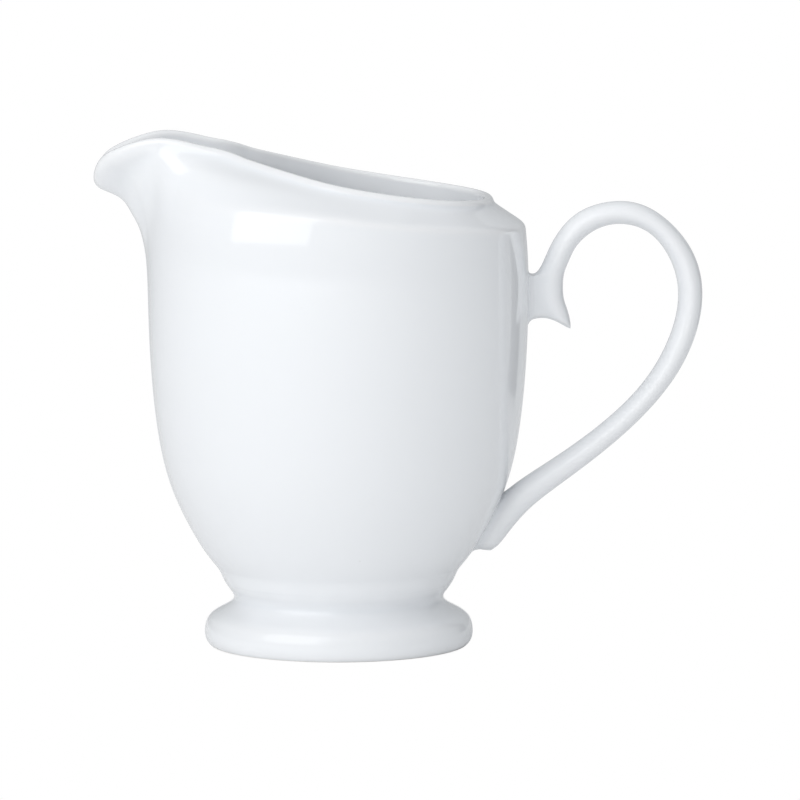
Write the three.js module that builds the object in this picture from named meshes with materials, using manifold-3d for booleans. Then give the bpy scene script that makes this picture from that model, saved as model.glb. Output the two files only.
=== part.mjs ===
// Porcelain cream jug: a slip-cast bowl drawn out into a pouring lip, a hollow pedestal foot and a scroll
// handle with a thumb spur, luted together with thin pads of slip and glazed.
// Millimetres, +Z up, +X towards the handle. The jug's own axis is a little to the -X side of the origin,
// because the handle reaches further out than the lip.
import * as THREE from 'three';
import { LoftGeometry } from 'three/addons/geometries/LoftGeometry.js';
import { mergeVertices } from 'three/addons/utils/BufferGeometryUtils.js';
import Module from 'manifold-3d';

const wasm = await Module();
wasm.setup();

// ---- driving dimensions ----
const bowlRadius = 39.2;       // straight upper wall of the bowl
const lipReach = 49.8;         // outer wall at the tip of the pouring lip, from the jug's axis
const lipOverhang = 0.35;      // how far the rounded edge stands out beyond the wall there
const handleReach = 74.9;      // outermost point of the handle, from the jug's axis
const bowlBase = 15.4;         // underside of the bowl
const bowlFloor = 18.6;        // top of the bowl's floor at the axis
const wallThickness = 2.4;     // cast wall
const rimThickness = 2.0;      // rounded edge of the mouth
const lipThickness = 2.9;      // the same edge at the tip of the pouring lip
const footTop = 14.1;          // top face of the pedestal foot
const footRestInner = 24.0;    // flat unglazed ring that the jug stands on
const footRestOuter = 26.6;
const footBoreRadius = 18.2;   // hollow inside the foot
const slipGap = 0.3;           // space between a piece and the slip beside it
const slipThickness = 0.8;     // pad of slip between two joined pieces
const strapDepth = 4.1;        // half the width of the handle's strap, across the jug
const strapRadius = 2.6;       // half the strap's thickness in the jug's middle plane
const webShare = 0.78;         // depth of the web between strap and bowl, as a share of the strap's
const spurArch = 1.5;          // rise of the hollow under the web, between the bowl and the spur's point

const ringCount = 64;          // points round the bowl
const footCount = 56;          // points round the foot
const strapPoints = 16;        // points round the handle's cross section
const strapSteps = 62;         // steps along the handle
const axisX = (lipReach + lipOverhang - handleReach) / 2;

const degree = Math.PI / 180;

// ---- curves ----

function smoothStep(low, high, x) {
  const t = Math.min(Math.max((x - low) / (high - low), 0), 1);
  return t * t * (3 - 2 * t);
}

// Uniform cubic B-spline of control rows (arrays of equal length), held at its first and last row.
function bSpline(rows, v) {
  const spans = rows.length - 1;
  const x = Math.min(Math.max(v, 0), 1) * spans;
  const k = Math.min(Math.floor(x), spans - 1);
  const t = x - k;
  const row = (i, c) => {
    if (i < 0) return 2 * rows[0][c] - rows[1][c];
    if (i > spans) return 2 * rows[spans][c] - rows[spans - 1][c];
    return rows[i][c];
  };
  const weights = [(1 - t) ** 3, 3 * t ** 3 - 6 * t * t + 4, -3 * t ** 3 + 3 * t * t + 3 * t + 1, t ** 3];
  return rows[0].map((_, c) => weights.reduce((sum, w, i) => sum + w / 6 * row(k - 1 + i, c), 0));
}

// Smooth curve through knots, level at both ends.
function throughKnots(xs, ys, x) {
  const slope = xs.map((_, i) => {
    if (i === 0 || i === xs.length - 1) return 0;
    const before = xs[i] - xs[i - 1];
    const after = xs[i + 1] - xs[i];
    const rise = (ys[i + 1] - ys[i]) / after * before + (ys[i] - ys[i - 1]) / before * after;
    return rise / (before + after);
  });
  let k = 0;
  while (k < xs.length - 2 && x > xs[k + 1]) k += 1;
  const h = xs[k + 1] - xs[k];
  const t = (x - xs[k]) / h;
  return ys[k] * (1 + 2 * t) * (1 - t) ** 2 + slope[k] * h * t * (1 - t) ** 2
    + ys[k + 1] * t * t * (3 - 2 * t) + slope[k + 1] * h * t * t * (t - 1);
}

// ---- bowl ----

// Outer wall below the shoulder, [radius, height], from the foot joint upwards.
const lowerWall = [[24.6, bowlBase], [25.9, 17.0], [28.0, 19.6], [31.4, 25.4], [35.5, 34.3], [37.6, 45.5],
  [38.65, 57], [39.08, 67]];
// The mouth's outer edge against the angle from the pouring lip, in degrees.
const mouthAngles = [0, 11, 20, 31, 46, 66, 92, 132, 180];
const mouthRadii = [lipReach, 47.8, 40.0, 30.8, 27.3, 27.1, 29.9, 34.0, 31.9];
const mouthHeights = [95.1, 100.5, 104.3, 102.8, 100.6, 98.4, 95.6, 92.6, 91.9];
// Wall between the bowl and the mouth: [share of the way in or out to the mouth, distance below it].
// The inside of the shoulder is rounder than its outside.
const shoulderSection = [[0, 16.8], [0.04, 9.9], [0.09, 6.5], [0.095, 4.9], [0.39, 3.5], [0.73, 1.9],
  [0.96, 0.8], [1, 0]];
const lipSection = [[0, 20], [0.03, 14.7], [0.09, 11.6], [0.16, 8.6], [0.33, 5.6], [0.485, 2.5],
  [0.92, 1.1], [1, 0]];
const insideSection = [[0, 19], [0.03, 14.5], [0.09, 11.2], [0.22, 8.6], [0.55, 6.4], [0.9, 4.6],
  [1, 2.3], [1, 0]];

// Angle from the pouring lip, 0 to 180 degrees, of an angle round the jug.
function fromLip(angle) {
  return Math.abs(Math.atan2(Math.sin(angle), Math.cos(angle))) / degree;
}

// Point of the outer wall: angle round the jug from the pouring lip, v from the base (0) to the mouth (1).
function outerWall(angle, v, inside = false) {
  const away = fromLip(angle);
  const radius = throughKnots(mouthAngles, mouthRadii, away);
  const height = throughKnots(mouthAngles, mouthHeights, away);
  const lipness = 1 - (inside ? smoothStep(14, 34, away) : smoothStep(25, 95, away));
  const upper = (inside ? insideSection : shoulderSection).map(([share, drop], i) => {
    const s = share + (lipSection[i][0] - share) * lipness;
    const d = drop + (lipSection[i][1] - drop) * lipness;
    return [bowlRadius + (radius - bowlRadius) * s, height - d];
  });
  const [rho, z] = bSpline([...lowerWall, ...upper], v);
  return new THREE.Vector3(-rho * Math.cos(angle), -rho * Math.sin(angle), z);
}

// Outward normal and upward tangent of the outer wall.
function wallFrame(angle, v, inside = false) {
  const step = 1e-3;
  const low = Math.max(v - step, 0);
  const high = Math.min(v + step, 1);
  const up = outerWall(angle, high, inside).sub(outerWall(angle, low, inside)).normalize();
  const round = outerWall(angle + step, v, inside).sub(outerWall(angle - step, v, inside)).normalize();
  const normal = new THREE.Vector3().crossVectors(round, up).normalize();
  const tangent = new THREE.Vector3().crossVectors(normal, round).normalize();
  return { normal, tangent };
}

// Point of the inside of the wall: the wall with the rounder shoulder, moved in by its thickness.
function innerWall(angle, v) {
  const edge = rimThickness + (lipThickness - rimThickness) * (1 - smoothStep(0, 26, fromLip(angle)));
  const thickness = wallThickness + (edge - wallThickness) * smoothStep(0.75, 1, v);
  return outerWall(angle, v, true).addScaledVector(wallFrame(angle, v, true).normal, -thickness);
}

// Rounded edge of the mouth: a Bezier curve from the outer wall (0) over to the inner wall (1).
function mouthEdge(angle, t) {
  const outer = outerWall(angle, 1);
  const inner = innerWall(angle, 1);
  const reach = outer.distanceTo(inner) * 2 / 3;
  const rise = outer.clone().addScaledVector(wallFrame(angle, 1).tangent, reach);
  const fall = inner.clone().addScaledVector(wallFrame(angle, 1, true).tangent, reach);
  return new THREE.CubicBezierCurve3(outer, rise, fall, inner).getPoint(t);
}

// Floor of the bowl: a flat dish that turns up to meet the inner wall at v = floorJoin.
const floorJoin = 0.13;
function floorPoint(angle, share) {
  const edge = innerWall(angle, floorJoin);
  const before = innerWall(angle, floorJoin + 0.01);
  const rho = Math.hypot(edge.x, edge.y);
  const slope = (before.z - edge.z) / (Math.hypot(before.x, before.y) - rho);
  const power = slope * rho / (edge.z - bowlFloor);
  return new THREE.Vector3(edge.x * share, edge.y * share, bowlFloor + (edge.z - bowlFloor) * share ** power);
}

// Angles round the jug, closer together at the pouring lip.
const ringAngles = Array.from({ length: ringCount }, (_, i) => {
  const turn = i / ringCount * 2 * Math.PI;
  return turn - 0.4 * Math.sin(turn);
});

function bowlGeometry() {
  const rings = [];
  const add = (place) => rings.push(ringAngles.map(place));
  const outerSteps = 27;
  for (let i = 0; i <= outerSteps; i += 1) add((a) => outerWall(a, i / outerSteps));
  for (const t of [0.2, 0.4, 0.6, 0.8]) add((a) => mouthEdge(a, t));
  const innerSteps = 20;
  for (let i = innerSteps; i >= 0; i -= 1) {
    const v = floorJoin + (1 - floorJoin) * i / innerSteps;
    add((a) => innerWall(a, v));
  }
  for (const share of [0.96, 0.9, 0.8, 0.4, 0]) add((a) => floorPoint(a, share));
  return new LoftGeometry(rings, { capStart: true });
}

// ---- pedestal foot ----

// Outer side of the foot, [radius, height], from its top face down to the resting ring.
const footSide = [[24.1, footTop], [23.85, 13.5], [23.5, 12.9], [22.81, 11.8], [21.93, 10.8], [21.39, 9.4],
  [22.9, 8.0], [24.74, 7.1], [26.9, 5.9], [27.66, 4.2], [27.83, 2.2], [27.4, 0.7], [footRestOuter, 0]];
// Inside of the foot, from the resting ring up to the underside of its top face.
const footHollow = [[footRestInner, 0], [23.2, 0.7], [21.6, 3.2], [19.4, 6.2], [footBoreRadius, 9.4],
  [footBoreRadius, footTop]];

function lathe(profile, segments) {
  const geometry = new THREE.LatheGeometry(profile.map(([r, z]) => new THREE.Vector2(r, z)), segments);
  return geometry.rotateX(Math.PI / 2);
}

function footGeometry() {
  const profile = [];
  const sideSteps = 18;
  for (let i = sideSteps; i >= 0; i -= 1) profile.push(bSpline(footSide, i / sideSteps));
  const hollowSteps = 5;
  for (let i = hollowSteps; i >= 0; i -= 1) profile.push(bSpline(footHollow, i / hollowSteps));
  profile.push(profile[0]);
  return lathe(profile, footCount);
}

// Ring of slip between the foot's top face and the bowl.
function footSlipGeometry() {
  const low = footTop + slipGap;
  const high = bowlBase - slipGap;
  const inner = footBoreRadius + 0.6;
  const outer = 23.9;
  return lathe([[inner, low], [outer, low], [outer, high], [inner, high], [inner, low]], footCount);
}

// ---- handle ----

// Cross sections of the handle in the jug's middle plane, from under the thumb spur, up over the loop and
// down to the lower end: [outer x, outer z, inner x, inner z, share of the strap's depth], x from the axis.
const strapStations = [
  [37.6, 66.6, 47.8, 65.3, 0.7], [37.6, 68.6, 47.9, 66.5, 0.85], [37.6, 70.6, 47.1, 69.6, 0.97],
  [37.6, 72.8, 46.2, 71.6, 1], [37.6, 75.2, 46.2, 75.4, 1], [38.6, 76.5, 46.5, 77.2, 1],
  [41.0, 76.0, 47.4, 79.2, 1], [43.0, 81.4, 48.2, 81.2, 1], [45.5, 86.0, 49.7, 83.5, 1],
  [50.1, 90.5, 53.3, 86.3, 1], [58.8, 92.3, 58.1, 87.3, 1], [65.8, 89.9, 63.9, 85.9, 1],
  [72.9, 82.7, 68.3, 80.5, 1], [75.5, 74.1, 70.4, 73.7, 1], [74.3, 65.0, 69.5, 66.5, 1],
  [70.3, 55.9, 66.0, 58.2, 1], [63.3, 47.3, 60.2, 50.6, 1], [54.6, 39.6, 51.6, 43.3, 1],
  [46.4, 33.5, 43.4, 37.7, 1.02], [40.3, 29.0, 37.2, 33.8, 1.06], [37.0, 25.5, 32.5, 30.0, 1.1],
  [35.1, 23.0, 29.6, 25.2, 1.1], [33.0, 20.2, 27.6, 22.0, 1.0], [31.4, 19.2, 26.8, 19.8, 0.75],
];

// One closed cross section of the handle, thinner by inset all round. Near the thumb spur the section runs
// on into the bowl's wall: there the strap stays a round ridge and the web beside it is flatter.
function strapSection(v, inset) {
  const [ox, oz, ix, iz, depth] = bSpline(strapStations, v);
  const half = Math.hypot(ix - ox, iz - oz) / 2;
  const dirX = (ix - ox) / (2 * half);
  const dirZ = (iz - oz) / (2 * half);
  const ridge = Math.min(half, strapRadius);
  const web = smoothStep(0.2, 1.6, half - strapRadius);
  const endRound = Math.min(v / 0.035, (1 - v) / 0.045, 1);
  const thick = Math.max(strapDepth * depth * Math.sqrt(1 - (1 - endRound) ** 2) - inset, 0.1);
  const arch = spurArch * (1 - smoothStep(0, 0.08, v));
  const points = [];
  for (let i = 0; i < strapPoints; i += 1) {
    const angle = i / strapPoints * 2 * Math.PI;
    const along = -(half - inset) * Math.cos(angle);
    const fromRidge = half - ridge - along;
    const round = Math.sqrt(Math.max(1 - (along / (half - inset)) ** 2, 0));
    const flat = fromRidge < 0 ? Math.sqrt(Math.max(1 - (fromRidge / (ridge - inset)) ** 2, 0))
      : webShare + (1 - webShare) * Math.exp(-((fromRidge / strapRadius) ** 2));
    const closed = i === 0 ? 0 : round + (flat - round) * web;
    const y = -Math.sign(Math.sin(angle)) * thick * closed;
    const z = (oz + iz) / 2 + dirZ * along + arch * (1 - (along / half) ** 2) ** 1.5;
    points.push(new THREE.Vector3((ox + ix) / 2 + dirX * along, y, z));
  }
  return points;
}

function strapGeometry(inset) {
  const sections = [];
  for (let i = 0; i <= strapSteps; i += 1) sections.push(strapSection(i / strapSteps, inset));
  // each end closes onto its own middle line
  const middle = (section) => section.map(({ x, z }) => new THREE.Vector3(x, 0, z));
  return new LoftGeometry([middle(sections[0]), ...sections, middle(sections[strapSteps])]);
}

// The solid inside the bowl's plain outer wall at the back, grown outwards by a distance.
function bowlCore(grow) {
  const profile = [[0, 4]];
  const steps = 40;
  for (let i = 0; i <= steps; i += 1) {
    const v = i / steps * 0.86;
    const point = outerWall(Math.PI, v);
    const { normal } = wallFrame(Math.PI, v);
    profile.push([point.x + normal.x * grow, point.z + normal.z * grow]);
  }
  const last = profile[profile.length - 1];
  profile.splice(1, 0, [profile[1][0], 4]);
  profile.push([last[0], 100], [0, 100]);
  return lathe(profile, 90);
}

// ---- joining and cutting ----

function toSolid(geometry) {
  const bare = new THREE.BufferGeometry();
  bare.setAttribute('position', geometry.getAttribute('position'));
  bare.setIndex(geometry.index);
  const merged = mergeVertices(bare, 1e-4);
  return new wasm.Manifold(new wasm.Mesh({
    numProp: 3,
    vertProperties: new Float32Array(merged.attributes.position.array),
    triVerts: new Uint32Array(merged.index.array),
  }));
}

function toGeometry(solid) {
  const { vertProperties, triVerts } = solid.getMesh();
  const geometry = new THREE.BufferGeometry();
  geometry.setAttribute('position', new THREE.BufferAttribute(vertProperties, 3));
  geometry.setIndex(new THREE.BufferAttribute(triVerts, 1));
  return geometry;
}

const strap = toSolid(strapGeometry(0));
const strapCore = toSolid(strapGeometry(0.25));
const padShell = toSolid(bowlCore(slipGap + slipThickness)).subtract(toSolid(bowlCore(slipGap)));
const pads = strapCore.intersect(padShell).decompose();
pads.sort((a, b) => b.boundingBox().max[2] - a.boundingBox().max[2]);
const handleSolid = strap.subtract(toSolid(bowlCore(2 * slipGap + slipThickness)));

// ---- the jug ----

const glaze = { color: 0xf4f6f8, roughness: 0.1, metalness: 0 };
const slip = { color: 0xe9e7e2, roughness: 0.7, metalness: 0 };

const jug = new THREE.Group();
jug.position.x = axisX;

function addPiece(name, geometry, look) {
  const mesh = new THREE.Mesh(geometry, new THREE.MeshStandardMaterial(look));
  mesh.name = name;
  jug.add(mesh);
}

addPiece('jug_body', bowlGeometry(), glaze);
addPiece('pedestal_foot', footGeometry(), glaze);
addPiece('handle', toGeometry(handleSolid), glaze);
addPiece('foot_slip_joint', footSlipGeometry(), slip);
addPiece('upper_handle_slip_joint', toGeometry(pads[0]), slip);
addPiece('lower_handle_slip_joint', toGeometry(pads[1]), slip);

export default jug;
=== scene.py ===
import math

import bpy
import numpy as np
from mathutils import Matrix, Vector


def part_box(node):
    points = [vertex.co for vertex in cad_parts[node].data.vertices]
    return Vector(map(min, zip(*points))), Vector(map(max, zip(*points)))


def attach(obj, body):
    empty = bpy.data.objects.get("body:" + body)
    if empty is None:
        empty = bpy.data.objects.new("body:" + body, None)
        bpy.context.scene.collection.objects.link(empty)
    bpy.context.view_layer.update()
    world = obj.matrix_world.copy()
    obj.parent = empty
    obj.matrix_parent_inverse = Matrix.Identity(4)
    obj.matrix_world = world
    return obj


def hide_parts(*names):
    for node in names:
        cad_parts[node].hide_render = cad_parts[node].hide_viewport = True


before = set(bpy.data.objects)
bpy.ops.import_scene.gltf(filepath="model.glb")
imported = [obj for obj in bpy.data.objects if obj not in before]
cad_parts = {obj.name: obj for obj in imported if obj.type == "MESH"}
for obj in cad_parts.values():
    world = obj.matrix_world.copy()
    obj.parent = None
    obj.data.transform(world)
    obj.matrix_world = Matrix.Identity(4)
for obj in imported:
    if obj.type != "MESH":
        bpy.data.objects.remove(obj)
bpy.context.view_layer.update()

# Porcelain cream jug: the glazed skin of the bowl, foot and handle, and the glazed-over joints between them.
# Shapes are worked out in millimetres from the jug's own axis and put into the frame by placeInFrame.
mm = 0.001
footLow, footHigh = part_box("pedestal_foot")
jugAxisX = (footLow.x + footHigh.x) / 2
print("frame loaded, jug axis at x =", round(jugAxisX, 5))


# ---- curves ----

def smoothStep(low, high, x):
    # 3t^2 - 2t^3, where t goes from 0 at low to 1 at high
    t = np.clip((x - low) / (high - low), 0, 1)
    return t * t * (3 - 2 * t)


def splineRows(controls, v):
    # Uniform cubic B-spline held at both ends: each point is the four nearest control rows, weighted by the
    # cubic basis.
    before = 2 * controls[:1] - controls[1:2]
    after = 2 * controls[-1:] - controls[-2:-1]
    padded = np.concatenate([before, controls, after])
    spans = len(controls) - 1
    x = np.clip(v, 0, 1) * spans
    k = np.minimum(x.astype(int), spans - 1)
    t = x - k
    weights = [(1 - t) ** 3, 3 * t ** 3 - 6 * t ** 2 + 4, -3 * t ** 3 + 3 * t ** 2 + 3 * t + 1, t ** 3]
    total = 0
    for j, weight in enumerate(weights):
        rows = padded[k + j]
        total = total + rows * (weight / 6).reshape((-1,) + (1,) * (rows.ndim - 1))
    return total


def throughKnots(xs, ys, x):
    # Cubic Hermite curve through the knots, level at both ends, with three-point slopes between
    xs = np.array(xs, float)
    ys = np.array(ys, float)
    gap = np.diff(xs)
    rise = np.diff(ys) / gap
    slope = np.zeros(len(xs))
    slope[1:-1] = (rise[1:] * gap[:-1] + rise[:-1] * gap[1:]) / (gap[:-1] + gap[1:])
    k = np.clip(np.searchsorted(xs, x, side="left") - 1, 0, len(xs) - 2)
    h = gap[k]
    t = (x - xs[k]) / h
    start = ys[k] * (1 + 2 * t) * (1 - t) ** 2 + slope[k] * h * t * (1 - t) ** 2
    end = ys[k + 1] * t * t * (3 - 2 * t) + slope[k + 1] * h * t * t * (t - 1)
    return start + end


def unit(vectors):
    return vectors / np.maximum(np.linalg.norm(vectors, axis=-1, keepdims=True), 1e-12)


# ---- meshes ----

def placeInFrame(points):
    # Jug-axis millimetres to frame metres
    return points * mm + np.array([jugAxisX, 0, 0])


def curvature(rings):
    # Mean of the two directions' second differences along the normal, per millimetre: above 0 in a hollow,
    # below 0 on an edge. Rows run along axis 0 and close round axis 1.
    ahead = np.roll(rings, -1, axis=1) - rings
    behind = np.roll(rings, 1, axis=1) - rings
    up = np.concatenate([rings[1:], rings[-1:]]) - rings
    down = np.concatenate([rings[:1], rings[:-1]]) - rings
    normal = unit(np.cross(ahead - behind, up - down))
    bend = 0
    for first, second in ((ahead, behind), (up, down)):
        a = np.maximum(np.linalg.norm(first, axis=-1), 1e-6)
        b = np.maximum(np.linalg.norm(second, axis=-1), 1e-6)
        lift = first / a[..., None] + second / b[..., None]
        bend = bend + 2 * (lift * normal).sum(-1) / (a + b)
    return bend / 2


def ringMesh(name, rings, startPole=None, endPole=None, masks=None, zipped=False):
    # Quads join each closed row of rings to the next. A pole point closes an end with a fan, and zipped ends
    # close across their own middle line; otherwise the last row joins the first, as on a ring.
    rows, columns = rings.shape[:2]
    points = rings.reshape(-1, 3)
    index = np.arange(rows * columns).reshape(rows, columns)
    if startPole is None and not zipped:
        index = np.concatenate([index, index[:1]])
    ahead = np.roll(index, -1, axis=1)
    quads = np.stack([index[:-1], ahead[:-1], ahead[1:], index[1:]], axis=-1).reshape(-1, 4)
    fans = []
    values = {key: list(mask.reshape(-1)) for key, mask in (masks or {}).items()}
    if startPole is not None:
        for pole, row, flip in ((startPole, index[0], False), (endPole, index[-1], True)):
            points = np.concatenate([points, np.array([pole], float)])
            tip = np.full(columns, len(points) - 1)
            turn = (tip, np.roll(row, -1), row) if not flip else (tip, row, np.roll(row, -1))
            fans.append(np.stack(turn, axis=-1))
            for key in values:
                values[key].append(0.0)
    if zipped:
        half = columns // 2
        side = np.arange(1, half - 1)
        other = columns - side
        for row, turned in ((index[0], True), (index[-1], False)):
            strip = np.stack([row[side], row[side + 1], row[other - 1], row[other]], axis=-1)
            # the strip's two tips are triangles, with the last corner written twice
            tips = np.array([[row[0], row[1], row[-1], row[-1]],
                             [row[half - 1], row[half], row[half + 1], row[half + 1]]])
            strip = np.concatenate([strip, tips])
            quads = np.concatenate([quads, strip[:, ::-1] if turned else strip])
    faces = [list(dict.fromkeys(face)) for face in quads.tolist()]
    faces += [face for fan in fans for face in fan.tolist()]
    # six times the enclosed volume; below 0 the faces look inward and are turned round
    corners = points[quads]
    volume = np.einsum("ij,ij->i", corners[:, 0], np.cross(corners[:, 1], corners[:, 2])).sum()
    volume += np.einsum("ij,ij->i", corners[:, 0], np.cross(corners[:, 2], corners[:, 3])).sum()
    for fan in fans:
        tri = points[fan]
        volume += np.einsum("ij,ij->i", tri[:, 0], np.cross(tri[:, 1], tri[:, 2])).sum()
    if volume < 0:
        faces = [face[::-1] for face in faces]
    mesh = bpy.data.meshes.new(name)
    mesh.from_pydata(points.tolist(), [], faces)
    mesh.shade_smooth()
    for key, column in values.items():
        attribute = mesh.attributes.new(key, "FLOAT", "POINT")
        attribute.data.foreach_set("value", np.array(column, np.float32))
    mesh.validate()
    piece = bpy.data.objects.new(name, mesh)
    bpy.context.scene.collection.objects.link(piece)
    print(name, len(mesh.vertices), "points,", sum(len(face) - 2 for face in faces), "triangles")
    return piece


def addPiece(piece, material, slot, *nodes):
    piece.data.materials.append(material)
    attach(piece, "root")
    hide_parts(*nodes)


# ---- materials ----

def addSocket(group, name, kind, direction, value=None):
    socket = group.interface.new_socket(name=name, in_out=direction, socket_type=kind)
    if value is not None:
        socket.default_value = value


def linkMath(tree, operation, first, second, third=None, clamp=False):
    # One Math node; each input is a socket or a number. MULTIPLY_ADD is first * second + third.
    node = tree.nodes.new("ShaderNodeMath")
    node.operation = operation
    node.use_clamp = clamp
    for slotIndex, value in enumerate((first, second, third)):
        if value is None:
            continue
        if isinstance(value, (int, float)):
            node.inputs[slotIndex].default_value = value
        else:
            tree.links.new(value, node.inputs[slotIndex])
    return node.outputs[0]


def glazeGroup():
    # Fired glaze: slow thickness waves, fine orange peel, a cooler tone where it pools in hollows and a
    # warmer one where it runs thin over edges, and a few pinhead specks of the clay showing through.
    group = bpy.data.node_groups.new("firedGlaze", "ShaderNodeTree")
    for name, kind, value in (
        ("Glaze", "NodeSocketColor", (0.9, 0.91, 0.93, 1)),
        ("Pooled", "NodeSocketColor", (0.8, 0.84, 0.88, 1)),
        ("Thin", "NodeSocketColor", (0.93, 0.92, 0.9, 1)),
        ("Pool", "NodeSocketFloat", 0.0),
        ("Wave Scale", "NodeSocketFloat", 40.0),
        ("Peel Scale", "NodeSocketFloat", 900.0),
        ("Gloss", "NodeSocketFloat", 0.08),
    ):
        addSocket(group, name, kind, "INPUT", value)
    for name, kind in (("Color", "NodeSocketColor"), ("Roughness", "NodeSocketFloat"),
                       ("Height", "NodeSocketFloat")):
        addSocket(group, name, kind, "OUTPUT")
    nodes = group.nodes
    links = group.links
    given = nodes.new("NodeGroupInput").outputs
    result = nodes.new("NodeGroupOutput").inputs
    place = nodes.new("ShaderNodeTexCoord").outputs["Object"]

    def noise(scale, detail, roughness=0.5):
        node = nodes.new("ShaderNodeTexNoise")
        links.new(place, node.inputs["Vector"])
        if isinstance(scale, (int, float)):
            node.inputs["Scale"].default_value = scale
        else:
            links.new(scale, node.inputs["Scale"])
        node.inputs["Detail"].default_value = detail
        node.inputs["Roughness"].default_value = roughness
        return node.outputs["Fac"]

    def mixColor(factor, first, second):
        node = nodes.new("ShaderNodeMix")
        node.data_type = "RGBA"
        links.new(factor, node.inputs["Factor"])
        for socket, value in ((node.inputs[6], first), (node.inputs[7], second)):
            links.new(value, socket)
        return node.outputs[2]

    wave = noise(given["Wave Scale"], 1.5)
    peel = noise(given["Peel Scale"], 2.0)
    drift = noise(14.0, 3.0, 0.6)
    # how much glaze lies here: the hollow or edge of the shape, unsettled a little by the drift
    depth = linkMath(group, "MULTIPLY_ADD", drift, glaze["drift"], -glaze["drift"] / 2)
    depth = linkMath(group, "ADD", depth, given["Pool"])
    pooled = linkMath(group, "MULTIPLY", depth, 1.0, clamp=True)
    thin = linkMath(group, "MULTIPLY", depth, -1.0, clamp=True)
    color = mixColor(pooled, given["Glaze"], given["Pooled"])
    color = mixColor(thin, color, given["Thin"])
    # specks: a few cells, picked by their random value, get a dot in the middle
    cells = nodes.new("ShaderNodeTexVoronoi")
    cells.inputs["Scale"].default_value = specks["cellsPerMetre"]
    links.new(place, cells.inputs["Vector"])
    near = linkMath(group, "LESS_THAN", cells.outputs["Distance"], specks["radius"])
    chosen = nodes.new("ShaderNodeSeparateColor")
    links.new(cells.outputs["Color"], chosen.inputs[0])
    rare = linkMath(group, "GREATER_THAN", chosen.outputs[0], 1 - specks["share"])
    speck = linkMath(group, "MULTIPLY", linkMath(group, "MULTIPLY", near, rare), specks["strength"])
    dark = nodes.new("ShaderNodeRGB")
    dark.outputs[0].default_value = specks["color"]
    color = mixColor(speck, color, dark.outputs[0])
    links.new(color, result["Color"])
    rough = linkMath(group, "MULTIPLY_ADD", drift, glaze["roughDrift"], given["Gloss"])
    links.new(rough, result["Roughness"])
    links.new(linkMath(group, "MULTIPLY_ADD", peel, glaze["peelShare"], wave), result["Height"])
    return group


def clayGroup():
    # Bare fired clay on the resting ring: fine grain in tone and height
    group = bpy.data.node_groups.new("bareClay", "ShaderNodeTree")
    addSocket(group, "Clay", "NodeSocketColor", "INPUT", (0.84, 0.82, 0.78, 1))
    addSocket(group, "Grain Scale", "NodeSocketFloat", "INPUT", 2500.0)
    addSocket(group, "Color", "NodeSocketColor", "OUTPUT")
    addSocket(group, "Height", "NodeSocketFloat", "OUTPUT")
    nodes = group.nodes
    links = group.links
    given = nodes.new("NodeGroupInput").outputs
    result = nodes.new("NodeGroupOutput").inputs
    place = nodes.new("ShaderNodeTexCoord").outputs["Object"]
    grain = nodes.new("ShaderNodeTexNoise")
    links.new(place, grain.inputs["Vector"])
    links.new(given["Grain Scale"], grain.inputs["Scale"])
    grain.inputs["Detail"].default_value = 4.0
    shade = nodes.new("ShaderNodeHueSaturation")
    links.new(given["Clay"], shade.inputs["Color"])
    links.new(linkMath(group, "MULTIPLY_ADD", grain.outputs["Fac"], 0.3, 0.85), shade.inputs["Value"])
    links.new(shade.outputs[0], result["Color"])
    links.new(grain.outputs["Fac"], result["Height"])
    return group


glaze = {
    "color": (0.885, 0.90, 0.92, 1),
    "pooled": (0.855, 0.88, 0.91, 1),
    "thin": (0.90, 0.905, 0.915, 1),
    "coatRoughness": 0.03,
    # height of the waves, and of the peel as a share of it
    "waveDepth": 0.05 * mm,
    "peelShare": 0.004,
    # how far the drift unsettles the pooling and the roughness
    "drift": 0.3,
    "roughDrift": 0.05,
}
# radius is in cells, share is how many of the cells have a speck
specks = {
    "cellsPerMetre": 260.0, "radius": 0.06, "share": 0.03, "strength": 0.18,
    "color": (0.62, 0.6, 0.57, 1),
}
clay = {"color": (0.84, 0.82, 0.78, 1), "roughness": 0.75, "grainDepth": 0.03 * mm}
glazeNodes = glazeGroup()
clayNodes = clayGroup()


def newMaterial(name):
    material = bpy.data.materials.new(name)
    material.use_nodes = True
    tree = material.node_tree
    shader = tree.nodes["Principled BSDF"]
    return material, tree, shader


def placeGroup(tree, group, values):
    node = tree.nodes.new("ShaderNodeGroup")
    node.node_tree = group
    for key, value in values.items():
        node.inputs[key].default_value = value
    return node


def addBump(tree, height, distance):
    bump = tree.nodes.new("ShaderNodeBump")
    bump.inputs["Distance"].default_value = distance
    tree.links.new(height, bump.inputs["Height"])
    return bump


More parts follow.
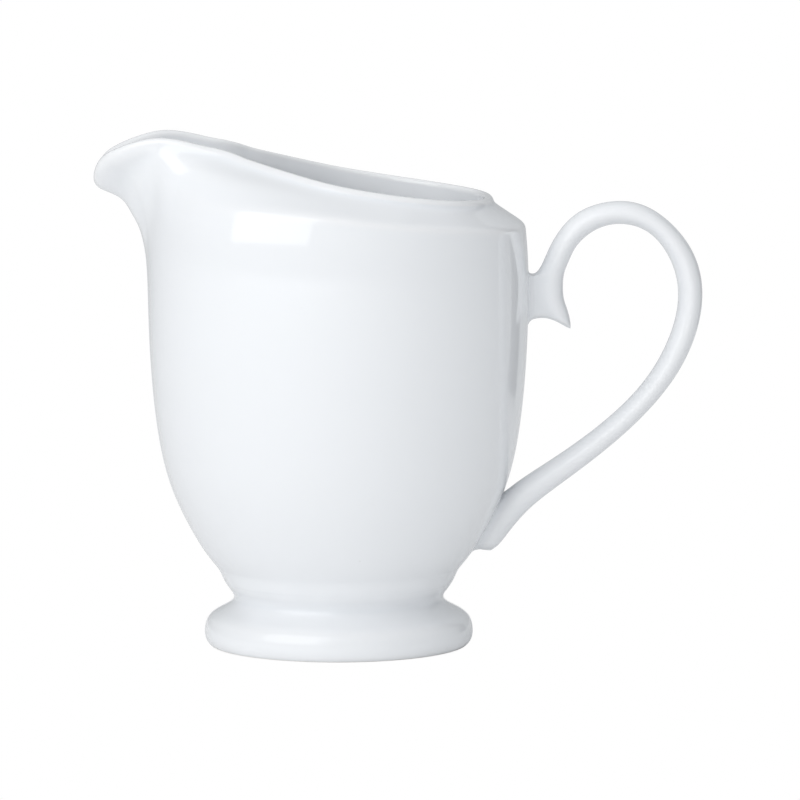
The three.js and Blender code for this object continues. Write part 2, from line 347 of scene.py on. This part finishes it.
def glazeMaterial(name, waveScale, gloss, coat, bareRing=False):
    # Glazed porcelain; coat is the clear coat's weight. Where bareRing is set, "bare" uncovers the clay.
    material, tree, shader = newMaterial(name)
    links = tree.links
    skin = placeGroup(tree, glazeNodes, {
        "Glaze": glaze["color"], "Pooled": glaze["pooled"], "Thin": glaze["thin"],
        "Wave Scale": waveScale, "Gloss": gloss,
    })
    pool = tree.nodes.new("ShaderNodeAttribute")
    pool.attribute_name = "glazePool"
    links.new(pool.outputs["Fac"], skin.inputs["Pool"])
    color = skin.outputs["Color"]
    roughness = skin.outputs["Roughness"]
    bump = addBump(tree, skin.outputs["Height"], glaze["waveDepth"])
    shader.inputs["Specular IOR Level"].default_value = 0.5
    shader.inputs["Coat Roughness"].default_value = glaze["coatRoughness"]
    shader.inputs["Coat Weight"].default_value = coat
    if bareRing:
        bare = tree.nodes.new("ShaderNodeAttribute")
        bare.attribute_name = "bare"
        ground = placeGroup(tree, clayNodes, {"Clay": clay["color"]})
        mix = tree.nodes.new("ShaderNodeMix")
        mix.data_type = "RGBA"
        links.new(bare.outputs["Fac"], mix.inputs["Factor"])
        links.new(color, mix.inputs[6])
        links.new(ground.outputs["Color"], mix.inputs[7])
        color = mix.outputs[2]
        mixRough = tree.nodes.new("ShaderNodeMix")
        links.new(bare.outputs["Fac"], mixRough.inputs["Factor"])
        links.new(roughness, mixRough.inputs[2])
        mixRough.inputs[3].default_value = clay["roughness"]
        roughness = mixRough.outputs[0]
        covered = linkMath(tree, "MULTIPLY_ADD", bare.outputs["Fac"], -coat, coat)
        links.new(covered, shader.inputs["Coat Weight"])
        grain = linkMath(tree, "MULTIPLY", ground.outputs["Height"], bare.outputs["Fac"])
        grainBump = addBump(tree, grain, clay["grainDepth"])
        links.new(bump.outputs["Normal"], grainBump.inputs["Normal"])
        bump = grainBump
    links.new(color, shader.inputs["Base Color"])
    links.new(roughness, shader.inputs["Roughness"])
    links.new(bump.outputs["Normal"], shader.inputs["Normal"])
    return material


# ---- bowl ----

bowl = {
    "radius": 39.2, "base": 15.4, "floor": 18.6, "wall": 2.4, "rim": 2.0, "lipRim": 2.9,
    "lowerWall": [[24.6, 15.4], [25.9, 17.0], [28.0, 19.6], [31.4, 25.4], [35.5, 34.3], [37.6, 45.5],
                  [38.65, 57], [39.08, 67]],
    # the mouth's outer edge against the angle from the pouring lip
    "mouthAngles": [0, 11, 20, 31, 46, 66, 92, 132, 180],
    "mouthRadii": [49.8, 47.8, 40.0, 30.8, 27.3, 27.1, 29.9, 34.0, 31.9],
    "mouthHeights": [95.1, 100.5, 104.3, 102.8, 100.6, 98.4, 95.6, 92.6, 91.9],
    # wall between the bowl and the mouth: share of the way in or out to the mouth, distance below it
    "shoulder": [[0, 16.8], [0.04, 9.9], [0.09, 6.5], [0.095, 4.9], [0.39, 3.5], [0.73, 1.9], [0.96, 0.8],
                 [1, 0]],
    "lip": [[0, 20], [0.03, 14.7], [0.09, 11.6], [0.16, 8.6], [0.33, 5.6], [0.485, 2.5], [0.92, 1.1], [1, 0]],
    "inside": [[0, 19], [0.03, 14.5], [0.09, 11.2], [0.22, 8.6], [0.55, 6.4], [0.9, 4.6], [1, 2.3], [1, 0]],
    # the inner wall starts at this share of the outer one, where the dished floor meets it
    "floorJoin": 0.13,
    "round": 384, "outerRows": 104, "edgeRows": 10, "innerRows": 78,
    # how far the columns crowd toward the pouring lip
    "crowding": 0.4,
    # how strongly the curvature thins or pools the glaze
    "poolGain": 3.0,
}
handleAngle = math.pi


def fromLip(angle):
    return np.degrees(np.abs(np.arctan2(np.sin(angle), np.cos(angle))))


def outerWall(angle, v, inside=False):
    # angle (columns) from the pouring lip, v (rows) from the base to the mouth. The upper control rows sit at
    # radius R + (mouth - R) * share and height mouth - drop, with share and drop going from the shoulder's
    # to the lip's by lipness. The inside of the shoulder is rounder than its outside.
    away = fromLip(angle)
    radius = throughKnots(bowl["mouthAngles"], bowl["mouthRadii"], away)
    height = throughKnots(bowl["mouthAngles"], bowl["mouthHeights"], away)
    lipness = (1 - (smoothStep(14, 34, away) if inside else smoothStep(25, 95, away)))[:, None]
    shoulder = np.array(bowl["inside" if inside else "shoulder"], float)[:, None]
    lip = np.array(bowl["lip"], float)[:, None]
    section = shoulder + (lip - shoulder) * lipness
    rho = bowl["radius"] + (radius - bowl["radius"]) * section[..., 0]
    upper = np.stack([rho, height - section[..., 1]], axis=-1)
    lower = np.array(bowl["lowerWall"])[:, None] * np.ones((len(angle), 1))
    profile = splineRows(np.concatenate([lower, upper]), v)
    rho = profile[..., 0]
    return np.stack([-rho * np.cos(angle), -rho * np.sin(angle), profile[..., 1]], axis=-1)


def wallFrame(angle, v, inside=False):
    # Outward normal and upward tangent from small steps in both directions
    step = 1e-3
    above = outerWall(angle, np.minimum(v + step, 1), inside)
    below = outerWall(angle, np.maximum(v - step, 0), inside)
    around = unit(outerWall(angle + step, v, inside) - outerWall(angle - step, v, inside))
    normal = unit(np.cross(around, above - below))
    return normal, unit(np.cross(normal, around))


def innerWall(angle, v):
    # A wall with the rounder shoulder, moved in along its normal by the thickness; the edge is thicker at
    # the tip of the pouring lip
    edge = bowl["rim"] + (bowl["lipRim"] - bowl["rim"]) * (1 - smoothStep(0, 26, fromLip(angle)))
    thickness = bowl["wall"] + (edge - bowl["wall"]) * smoothStep(0.75, 1, v)[:, None]
    return outerWall(angle, v, True) - wallFrame(angle, v, True)[0] * thickness[..., None]


def mouthEdge(angle, t):
    # Bezier curve over the mouth's edge, from the outer wall (t = 0) to the inner wall (t = 1), leaving each
    # along its own tangent
    top = np.array([1.0])
    outer = outerWall(angle, top)
    inner = innerWall(angle, top)
    reach = np.linalg.norm(outer - inner, axis=-1, keepdims=True) * 2 / 3
    t = t[:, None, None]
    rise = outer + wallFrame(angle, top)[1] * reach
    fall = inner + wallFrame(angle, top, True)[1] * reach
    return outer * (1 - t) ** 3 + rise * 3 * t * (1 - t) ** 2 + fall * 3 * t * t * (1 - t) + inner * t ** 3


def bowlFloor(angle, share):
    # A dish: height = floor + rise * share^power, where power makes it leave the inner wall without a kink
    edge, above = innerWall(angle, np.array([bowl["floorJoin"], bowl["floorJoin"] + 0.01]))
    rho = np.hypot(edge[:, 0], edge[:, 1])
    slope = (above[:, 2] - edge[:, 2]) / (np.hypot(above[:, 0], above[:, 1]) - rho)
    rise = edge[:, 2] - bowl["floor"]
    power = slope * rho / rise
    share = share[:, None]
    return np.stack([edge[:, 0] * share, edge[:, 1] * share, bowl["floor"] + rise * share ** power], axis=-1)


def fitToBox(points, node):
    # Stretches points onto the CAD node's box; no side moves by as much as 0.04 mm
    low, high = (np.array(corner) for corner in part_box(node))
    ownLow = points.min(axis=(0, 1))
    ownHigh = points.max(axis=(0, 1))
    return low + (points - ownLow) * (high - low) / (ownHigh - ownLow)


def makeBowl():
    turn = np.arange(bowl["round"]) / bowl["round"] * 2 * np.pi
    angle = turn - bowl["crowding"] * np.sin(turn)
    outerSteps = np.linspace(0, 1, bowl["outerRows"] + 1)
    edgeSteps = np.linspace(0, 1, bowl["edgeRows"] + 2)[1:-1]
    innerSteps = np.linspace(1, bowl["floorJoin"], bowl["innerRows"] + 1)
    outside = outerWall(angle, outerSteps)
    underEdge = outside[:1]
    axis = np.array([0, 0, bowl["base"]])
    shares = np.array([0.2, 0.5, 0.8, 0.97])[:, None, None]
    underside = axis + (underEdge - axis) * shares
    inside = innerWall(angle, innerSteps)
    floorShares = np.array([0.985, 0.96, 0.93, 0.89, 0.84, 0.78, 0.7, 0.6, 0.48, 0.34, 0.18, 0.06])
    floor = bowlFloor(angle, floorShares)
    rings = np.concatenate([underside, outside, mouthEdge(angle, edgeSteps), inside, floor])
    pool = np.clip(curvature(rings) * bowl["poolGain"], -1, 1)
    pool[:len(underside) + 1] = 0
    placed = fitToBox(placeInFrame(rings), "jug_body")
    startPole = [jugAxisX, 0, bowl["base"] * mm]
    endPole = [jugAxisX, 0, bowl["floor"] * mm]
    return ringMesh("glazedBowl", placed, startPole, endPole, {"glazePool": pool})


# ---- pedestal foot and its joint ----

foot = {
    "top": 14.1, "restInner": 24.0, "restOuter": 26.6, "bore": 18.2,
    "round": 288, "sideRows": 110, "hollowRows": 60, "restRows": 7, "topRows": 5, "poolGain": 2.0,
    # outer side and hollow, [radius, height]
    "side": [[24.1, 14.1], [23.85, 13.5], [23.5, 12.9], [22.81, 11.8], [21.93, 10.8], [21.39, 9.4],
             [22.9, 8.0], [24.74, 7.1], [26.9, 5.9], [27.66, 4.2], [27.83, 2.2], [27.4, 0.7], [26.6, 0]],
    "hollow": [[24.0, 0], [23.2, 0.7], [21.6, 3.2], [19.4, 6.2], [18.2, 9.4], [18.2, 14.1]],
}
# glazed-over joint between foot and bowl: it leaves the foot's side at "low", meets the bowl's wall at
# "high" and sinks into both over the length "fade"; "back" closes it inside them, [radius, height]
footJoint = {
    "low": 13.1, "high": 16.2, "fade": 0.7, "sink": 0.06, "rows": 70, "samples": 2000,
    "back": [[24.4, 17.2], [22.0, 16.4], [19.0, 15.6], [18.7, 14.6], [20.0, 13.4], [22.4, 12.5]],
}


def latheRings(profile, columns):
    # profile (rows, 2) of radius and height, turned about the jug's axis
    angle = np.arange(columns) / columns * 2 * np.pi
    radius = profile[:, None, 0]
    height = profile[:, None, 1] * np.ones(columns)
    return np.stack([radius * np.cos(angle), radius * np.sin(angle), height], axis=-1)


def makeFoot():
    side = splineRows(np.array(foot["side"], float), np.linspace(1, 0, foot["sideRows"] + 1))
    hollow = splineRows(np.array(foot["hollow"], float), np.linspace(1, 0, foot["hollowRows"] + 1))
    across = np.linspace(0, 1, foot["restRows"] + 2)[1:-1]
    restRadius = foot["restInner"] + (foot["restOuter"] - foot["restInner"]) * across
    rest = np.stack([restRadius, np.zeros(foot["restRows"])], axis=-1)
    across = np.linspace(0, 1, foot["topRows"] + 2)[1:-1]
    topRadius = foot["side"][0][0] + (foot["bore"] - foot["side"][0][0]) * across
    top = np.stack([topRadius, np.full(foot["topRows"], foot["top"])], axis=-1)
    # from the top of the hollow, down to the resting ring, out, up the side and back across the top face
    profile = np.concatenate([hollow, rest, side, top])
    rings = latheRings(profile, foot["round"])
    bare = (1 - smoothStep(0.02, 0.22, profile[:, 1]))[:, None] * np.ones(foot["round"])
    pool = np.clip(curvature(rings) * foot["poolGain"], -1, 1) * (1 - bare)
    pool[len(hollow) + len(rest) + len(side) - 2:] = 0
    pool[:2] = 0
    placed = fitToBox(placeInFrame(rings), "pedestal_foot")
    return ringMesh("glazedFoot", placed, masks={"glazePool": pool, "bare": bare})


def makeFootJoint():
    # radius(z) between low and high is the cubic Hermite curve with the two pieces' own radii and slopes;
    # beyond, it is their own radius less sink * smoothStep(distance beyond / fade)
    low, high, fade = footJoint["low"], footJoint["high"], footJoint["fade"]
    side = splineRows(np.array(foot["side"], float), np.linspace(1, 0, footJoint["samples"]))
    wall = outerWall(np.array([0.0]), np.linspace(0, 0.3, footJoint["samples"]))[:, 0]
    z = np.linspace(low - fade, high + fade, footJoint["rows"])
    onFoot = np.interp(z, side[:, 1], side[:, 0])
    onBowl = np.interp(z, wall[:, 2], -wall[:, 0])
    step = 0.05
    startRadius, startAhead = np.interp([low, low + step], side[:, 1], side[:, 0])
    endRadius, endAhead = np.interp([high, high + step], wall[:, 2], -wall[:, 0])
    h = high - low
    t = np.clip((z - low) / h, 0, 1)
    startSlope = (startAhead - startRadius) / step
    endSlope = (endAhead - endRadius) / step
    bridge = startRadius * (1 + 2 * t) * (1 - t) ** 2 + startSlope * h * t * (1 - t) ** 2
    bridge = bridge + endRadius * t * t * (3 - 2 * t) + endSlope * h * t * t * (t - 1)
    beyond = np.maximum(low - z, z - high)
    radius = np.where(z < low, onFoot, np.where(z > high, onBowl, bridge))
    radius = radius - footJoint["sink"] * smoothStep(0, fade, beyond)
    profile = np.concatenate([np.stack([radius, z], axis=-1), np.array(footJoint["back"])])
    rings = latheRings(profile, foot["round"])
    return ringMesh("glazedFootJoint", placeInFrame(rings), masks={"glazePool": np.zeros(rings.shape[:2])})


# ---- handle and its joints ----

handle = {
    "depth": 4.1, "ridge": 2.6, "webShare": 0.78, "spurArch": 1.5, "round": 112, "rows": 460,
    "poolGain": 1.5,
    # lengths over which the two ends are rounded, as shares of the whole
    "upperRound": 0.035, "lowerRound": 0.045,
    # the skin starts and stops this share short of the ends, so that its end rows have some width
    "endGap": 0.0015,
    # cross sections in the jug's middle plane, from the thumb spur over the loop to the lower end:
    # outer x, outer z, inner x, inner z, share of the depth
    "sections": [
        [37.6, 66.6, 47.8, 65.3, 0.7], [37.6, 68.6, 47.9, 66.5, 0.85], [37.6, 70.6, 47.1, 69.6, 0.97],
        [37.6, 72.8, 46.2, 71.6, 1], [37.6, 75.2, 46.2, 75.4, 1], [38.6, 76.5, 46.5, 77.2, 1],
        [41.0, 76.0, 47.4, 79.2, 1], [43.0, 81.4, 48.2, 81.2, 1], [45.5, 86.0, 49.7, 83.5, 1],
        [50.1, 90.5, 53.3, 86.3, 1], [58.8, 92.3, 58.1, 87.3, 1], [65.8, 89.9, 63.9, 85.9, 1],
        [72.9, 82.7, 68.3, 80.5, 1], [75.5, 74.1, 70.4, 73.7, 1], [74.3, 65.0, 69.5, 66.5, 1],
        [70.3, 55.9, 66.0, 58.2, 1], [63.3, 47.3, 60.2, 50.6, 1], [54.6, 39.6, 51.6, 43.3, 1],
        [46.4, 33.5, 43.4, 37.7, 1.02], [40.3, 29.0, 37.2, 33.8, 1.06], [37.0, 25.5, 32.5, 30.0, 1.1],
        [35.1, 23.0, 29.6, 25.2, 1.1], [33.0, 20.2, 27.6, 22.0, 1.0], [31.4, 19.2, 26.8, 19.8, 0.75],
    ],
}
# glazed-over joints at the two ends: stretch of the handle they cover and the radius of the fillet
upperJoint = {"from": 0.0, "to": 0.34, "fillet": 1.2, "rows": 190}
lowerJoint = {"from": 0.74, "to": 1.0, "fillet": 1.4, "rows": 150}
# how deep the joints lie under the handle's skin: at the edge of the fillet, beyond it and at the far end
jointSink = {"edge": 0.03, "beyond": 0.3, "end": 0.4}
jointPool = 0.35


def handleRings(v, inset=0.0):
    # Each section is a rounded bar between its outer and inner point: x and z go along it by -cos(turn), and
    # y is the depth times a half-ellipse. Where the section is long, near the spur, the far part is a round
    # ridge and the near part a flatter web.
    sections = splineRows(np.array(handle["sections"], float), v)
    outerX, outerZ, innerX, innerZ, depth = (sections[:, i, None] for i in range(5))
    half = np.hypot(innerX - outerX, innerZ - outerZ) / 2
    alongX = (innerX - outerX) / (2 * half)
    alongZ = (innerZ - outerZ) / (2 * half)
    ridge = np.minimum(half, handle["ridge"])
    web = smoothStep(0.2, 1.6, half - handle["ridge"])
    endRound = np.minimum(v / handle["upperRound"], (1 - v) / handle["lowerRound"])
    endRound = np.minimum(endRound, 1)[:, None]
    thick = np.maximum(handle["depth"] * depth * np.sqrt(1 - (1 - endRound) ** 2) - inset, 0.1)
    arch = handle["spurArch"] * (1 - smoothStep(0, 0.08, v))[:, None]
    turn = np.arange(handle["round"]) / handle["round"] * 2 * np.pi
    along = -(half - inset) * np.cos(turn)
    fromRidge = half - ridge - along
    roundBar = np.sqrt(np.maximum(1 - (along / (half - inset)) ** 2, 0))
    overRidge = np.sqrt(np.maximum(1 - (fromRidge / (ridge - inset)) ** 2, 0))
    overWeb = handle["webShare"] + (1 - handle["webShare"]) * np.exp(-((fromRidge / handle["ridge"]) ** 2))
    flat = np.where(fromRidge < 0, overRidge, overWeb)
    closed = roundBar + (flat - roundBar) * web
    closed[:, 0] = 0
    y = -np.sign(np.round(np.sin(turn), 9)) * thick * closed
    x = (outerX + innerX) / 2 + alongX * along
    z = (outerZ + innerZ) / 2 + alongZ * along + arch * (1 - (along / half) ** 2) ** 1.5
    return np.stack([x, y, z], axis=-1)


def gridNormals(rings):
    around = np.roll(rings, -1, axis=1) - np.roll(rings, 1, axis=1)
    along = np.gradient(rings, axis=0)
    normal = unit(np.cross(around, along))
    centre = rings.mean(axis=1, keepdims=True)
    outward = ((rings - centre) * normal).sum(-1)
    return normal * np.where(outward.sum() < 0, -1, 1)


def fromWall(points):
    # Distance of each point outside the bowl's back wall, and the wall's normal there
    v = np.linspace(0, 0.86, 400)
    angle = np.array([handleAngle])
    wall = outerWall(angle, v)[:, 0]
    normal = wallFrame(angle, v)[0][:, 0]
    rho = np.hypot(points[..., 0], points[..., 1])
    wallRho = np.interp(points[..., 2], wall[:, 2], wall[:, 0])
    normalRho = np.interp(points[..., 2], wall[:, 2], normal[:, 0])
    normalZ = np.interp(points[..., 2], wall[:, 2], normal[:, 2])
    flat = normalRho / rho
    wallNormal = np.stack([flat * points[..., 0], flat * points[..., 1], normalZ], axis=-1)
    return (rho - wallRho) * normalRho, unit(wallNormal)


def makeHandle():
    t = np.linspace(0, 1, handle["rows"] + 1)
    v = t - 0.08 * np.sin(2 * np.pi * t)
    rings = handleRings(np.clip(v, handle["endGap"], 1 - handle["endGap"]))
    pool = np.clip(curvature(rings) * handle["poolGain"], -1, 1) * smoothStep(0, 0.02, v * (1 - v))[:, None]
    placed = placeInFrame(rings)
    # the loop's far side comes 0.05 mm in, onto the CAD handle's
    placed[..., 0] *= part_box("handle")[1].x / placed[..., 0].max()
    return ringMesh("glazedHandle", placed, masks={"glazePool": pool}, zipped=True)


def makeHandleJoint(name, joint):
    # The end of the handle again, spread along the wall by r - sqrt(r^2 - (r - d)^2) at the distance d from
    # it, and sunk under the handle's own skin beyond the fillet and at the far end.
    t = np.linspace(0, 1, joint["rows"] + 1)
    v = joint["from"] + (joint["to"] - joint["from"]) * t
    rings = handleRings(np.clip(v, handle["endGap"], 1 - handle["endGap"]))
    normal = gridNormals(rings)
    distance, wallNormal = fromWall(rings)
    radius = joint["fillet"]
    inside = np.clip(distance, 0, radius)
    spread = radius - np.sqrt(np.maximum(radius ** 2 - (radius - inside) ** 2, 0))
    sideways = normal - (normal * wallNormal).sum(-1, keepdims=True) * wallNormal
    sunk = jointSink["edge"] * smoothStep(radius * 0.8, radius * 1.2, distance)
    sunk = sunk + jointSink["beyond"] * smoothStep(radius * 1.2, radius * 2.5, distance)
    far = joint["to"] if joint["from"] == 0 else joint["from"]
    sunk = sunk + jointSink["end"] * (1 - smoothStep(0, 0.05, np.abs(v - far)))[:, None]
    rings = rings + sideways * spread[..., None] - normal * sunk[..., None]
    pool = jointPool * (1 - smoothStep(0, radius, distance))
    placed = placeInFrame(rings)
    return ringMesh(name, placed, masks={"glazePool": pool}, zipped=True)


# ---- the jug ----

bodyGlaze = glazeMaterial("bodyGlaze", waveScale=36.0, gloss=0.07, coat=0.6)
footGlaze = glazeMaterial("footGlaze", waveScale=55.0, gloss=0.08, coat=0.6, bareRing=True)
handleGlaze = glazeMaterial("handleGlaze", waveScale=60.0, gloss=0.14, coat=0.0)
addPiece(makeBowl(), bodyGlaze, "glaze", "jug_body")
addPiece(makeFoot(), footGlaze, "glaze", "pedestal_foot")
addPiece(makeFootJoint(), bodyGlaze, "glaze", "foot_slip_joint")
addPiece(makeHandle(), handleGlaze, "glaze", "handle")
addPiece(makeHandleJoint("glazedUpperJoint", upperJoint), handleGlaze, "glaze", "upper_handle_slip_joint")
addPiece(makeHandleJoint("glazedLowerJoint", lowerJoint), handleGlaze, "glaze", "lower_handle_slip_joint")
print("jug made")


# ---- floor, light and camera ----

studio = {
    "floorSize": 24.0, "floorColor": (0.95, 0.95, 0.95, 1), "floorGlow": 1.0,
    "worldColor": (0.95, 0.975, 1.0, 1), "worldStrength": 0.515,
    # height of the point that the lights aim at
    "middle": 0.06,
}
# azimuth is to the left of the camera; angles in degrees, sizes in metres
softboxes = {
    "keySoftbox": {"azimuth": 42, "height": 31, "away": 1.4, "size": (1.35, 1.25), "power": 6.6,
                   "mirrored": True},
    "topFill": {"azimuth": 20, "height": 84, "away": 1.3, "size": (0.8, 0.8), "power": 2.4,
                "mirrored": False},
    "frontFill": {"azimuth": 12, "height": 20, "away": 1.4, "size": (0.9, 0.6), "power": 3.4,
                  "mirrored": False},
}
# tall grey card at the right behind the jug, seen only as a dark stripe in the glaze
darkCard = {"from": -125, "to": -140, "away": 0.32, "low": 0.0, "high": 0.7, "color": (0.22, 0.22, 0.23, 1)}


def makeFloor():
    half = studio["floorSize"] / 2
    mesh = bpy.data.meshes.new("floor")
    corners = [(-half, -half, 0), (half, -half, 0), (half, half, 0), (-half, half, 0)]
    mesh.from_pydata(corners, [], [(0, 1, 2, 3)])
    floor = bpy.data.objects.new("floor", mesh)
    bpy.context.scene.collection.objects.link(floor)
    material, tree, shader = newMaterial("studioFloor")
    shader.inputs["Base Color"].default_value = studio["floorColor"]
    shader.inputs["Roughness"].default_value = 0.9
    shader.inputs["Specular IOR Level"].default_value = 0.1
    # seen from above it glows enough to read as plain white; from below it lets the view through
    glow = tree.nodes.new("ShaderNodeEmission")
    glow.inputs["Strength"].default_value = studio["floorGlow"]
    clear = tree.nodes.new("ShaderNodeBsdfTransparent")
    path = tree.nodes.new("ShaderNodeLightPath")
    side = tree.nodes.new("ShaderNodeNewGeometry")
    seen = tree.nodes.new("ShaderNodeMixShader")
    under = tree.nodes.new("ShaderNodeMixShader")
    links = tree.links
    links.new(path.outputs["Is Camera Ray"], seen.inputs[0])
    links.new(shader.outputs[0], seen.inputs[1])
    links.new(glow.outputs[0], seen.inputs[2])
    links.new(side.outputs["Backfacing"], under.inputs[0])
    links.new(seen.outputs[0], under.inputs[1])
    links.new(clear.outputs[0], under.inputs[2])
    links.new(under.outputs[0], tree.nodes["Material Output"].inputs["Surface"])
    mesh.materials.append(material)


def aimAt(thing, target):
    thing.rotation_euler = (Vector(target) - thing.location).to_track_quat("-Z", "Y").to_euler()


def roundTheJug(azimuth, height, away):
    # Point at that azimuth left of the camera and that height in degrees, as seen from the jug
    turn = math.radians(azimuth)
    rise = math.radians(height)
    flat = away * math.cos(rise)
    return (-flat * math.sin(turn), -flat * math.cos(turn), studio["middle"] + away * math.sin(rise))


def makeSoftbox(name, spec):
    light = bpy.data.lights.new(name, "AREA")
    light.shape = "RECTANGLE"
    light.size, light.size_y = spec["size"]
    light.energy = spec["power"]
    lamp = bpy.data.objects.new(name, light)
    bpy.context.scene.collection.objects.link(lamp)
    lamp.location = roundTheJug(spec["azimuth"], spec["height"], spec["away"])
    aimAt(lamp, (0, 0, studio["middle"]))
    lamp.visible_camera = False
    lamp.visible_glossy = spec["mirrored"]


def makeDarkCard():
    left, right = (roundTheJug(darkCard[end], 0, darkCard["away"]) for end in ("from", "to"))
    corners = [(x, y, z) for z in (darkCard["low"], darkCard["high"]) for x, y, _ in (left, right)]
    mesh = bpy.data.meshes.new("darkCard")
    mesh.from_pydata(corners, [], [(0, 1, 3, 2)])
    card = bpy.data.objects.new("darkCard", mesh)
    bpy.context.scene.collection.objects.link(card)
    material, _, shader = newMaterial("greyCloth")
    shader.inputs["Base Color"].default_value = darkCard["color"]
    shader.inputs["Roughness"].default_value = 0.9
    mesh.materials.append(material)
    card.visible_camera = False
    card.visible_shadow = False


def makeWorld():
    world = bpy.data.worlds.new("studioWorld")
    world.use_nodes = True
    tree = world.node_tree
    sky = tree.nodes["Background"]
    sky.inputs["Color"].default_value = studio["worldColor"]
    sky.inputs["Strength"].default_value = studio["worldStrength"]
    white = tree.nodes.new("ShaderNodeBackground")
    white.inputs["Strength"].default_value = 1.0
    path = tree.nodes.new("ShaderNodeLightPath")
    mix = tree.nodes.new("ShaderNodeMixShader")
    tree.links.new(path.outputs["Is Camera Ray"], mix.inputs[0])
    tree.links.new(sky.outputs[0], mix.inputs[1])
    tree.links.new(white.outputs[0], mix.inputs[2])
    tree.links.new(mix.outputs[0], tree.nodes["World Output"].inputs["Surface"])
    bpy.context.scene.world = world


cameraView = {"place": (0.0003, -1.1, 0.172), "target": (0.0003, 0, 0.0505), "lens": 241.5}


def makeCamera():
    data = bpy.data.cameras.new("camera")
    data.lens = cameraView["lens"]
    data.sensor_width = 36
    camera = bpy.data.objects.new("camera", data)
    bpy.context.scene.collection.objects.link(camera)
    camera.location = cameraView["place"]
    aimAt(camera, cameraView["target"])
    bpy.context.scene.camera = camera


makeFloor()
makeWorld()
for softboxName, spec in softboxes.items():
    makeSoftbox(softboxName, spec)
makeDarkCard()
makeCamera()
bpy.context.scene.view_settings.view_transform = "Standard"
print("studio ready")
